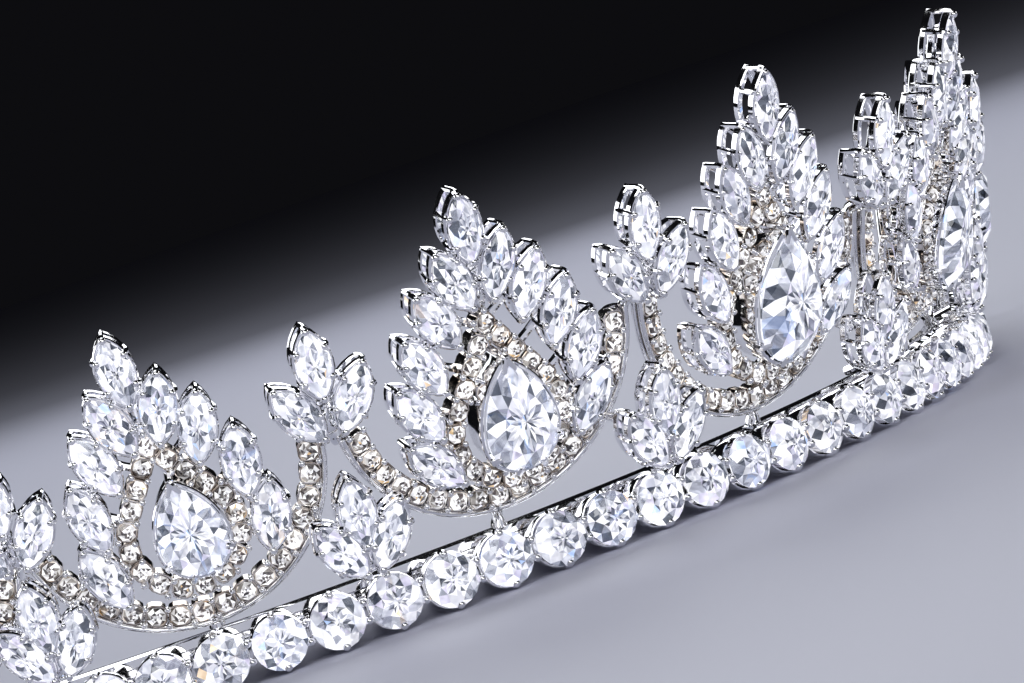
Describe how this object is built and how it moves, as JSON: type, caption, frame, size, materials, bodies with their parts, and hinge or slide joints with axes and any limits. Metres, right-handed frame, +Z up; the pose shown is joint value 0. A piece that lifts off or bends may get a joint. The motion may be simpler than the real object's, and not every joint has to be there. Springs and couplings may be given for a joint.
{
  "type": "diadem",
  "caption": "Open curved diadem: leaf-shaped and drop-shaped stone settings on swags of small stones, above a band of round stones.",
  "frame": {"origin": "middle of the whole object's footprint, at the bottom of the base rail", "axes": "+X to the wearer's left seen from the front, along the rail; +Y from the front towards the back of the head; +Z up"},
  "size_m": [0.193, 0.0804, 0.041],
  "materials": {
    "polished_metal": "mirror-polished white metal",
    "clear_stone": "clear cut stone"
  },
  "bodies": {
    "root": {"base_rail": "polished_metal", "rail_stones_left": "clear_stone", "rail_stones_right": "clear_stone", "centre_garland": "polished_metal", "centre_leaf_setting": "polished_metal", "centre_leaf_stones": "clear_stone", "centre_pear_stone": "clear_stone", "inner_left_garland": "polished_metal", "inner_left_leaf_setting": "polished_metal", "inner_left_leaf_stones": "clear_stone", "inner_left_pear_stone": "clear_stone", "inner_right_garland": "polished_metal", "inner_right_leaf_setting": "polished_metal", "inner_right_leaf_stones": "clear_stone", "inner_right_pear_stone": "clear_stone", "outer_left_garland": "polished_metal", "outer_left_leaf_setting": "polished_metal", "outer_left_leaf_stones": "clear_stone", "outer_left_pear_stone": "clear_stone", "outer_right_garland": "polished_metal", "outer_right_leaf_setting": "polished_metal", "outer_right_leaf_stones": "clear_stone", "outer_right_pear_stone": "clear_stone", "side_left_garland": "polished_metal", "side_left_leaf_setting": "polished_metal", "side_left_leaf_stones": "clear_stone", "side_left_pear_stone": "clear_stone", "side_right_garland": "polished_metal", "side_right_leaf_setting": "polished_metal", "side_right_leaf_stones": "clear_stone", "side_right_pear_stone": "clear_stone", "centre_left_upper_cluster": "polished_metal", "centre_left_lower_cluster": "polished_metal", "centre_left_cluster_stones": "clear_stone", "centre_right_upper_cluster": "polished_metal", "centre_right_lower_cluster": "polished_metal", "centre_right_cluster_stones": "clear_stone", "inner_left_upper_cluster": "polished_metal", "inner_left_lower_cluster": "polished_metal", "inner_left_cluster_stones": "clear_stone", "inner_right_upper_cluster": "polished_metal", "inner_right_lower_cluster": "polished_metal", "inner_right_cluster_stones": "clear_stone", "outer_left_upper_cluster": "polished_metal", "outer_left_lower_cluster": "polished_metal", "outer_left_cluster_stones": "clear_stone", "outer_right_upper_cluster": "polished_metal", "outer_right_lower_cluster": "polished_metal", "outer_right_cluster_stones": "clear_stone", "end_left_upper_cluster": "polished_metal", "end_left_lower_cluster": "polished_metal", "end_left_cluster_stones": "clear_stone", "end_right_upper_cluster": "polished_metal", "end_right_lower_cluster": "polished_metal", "end_right_cluster_stones": "clear_stone"}
  },
  "joints": []
}
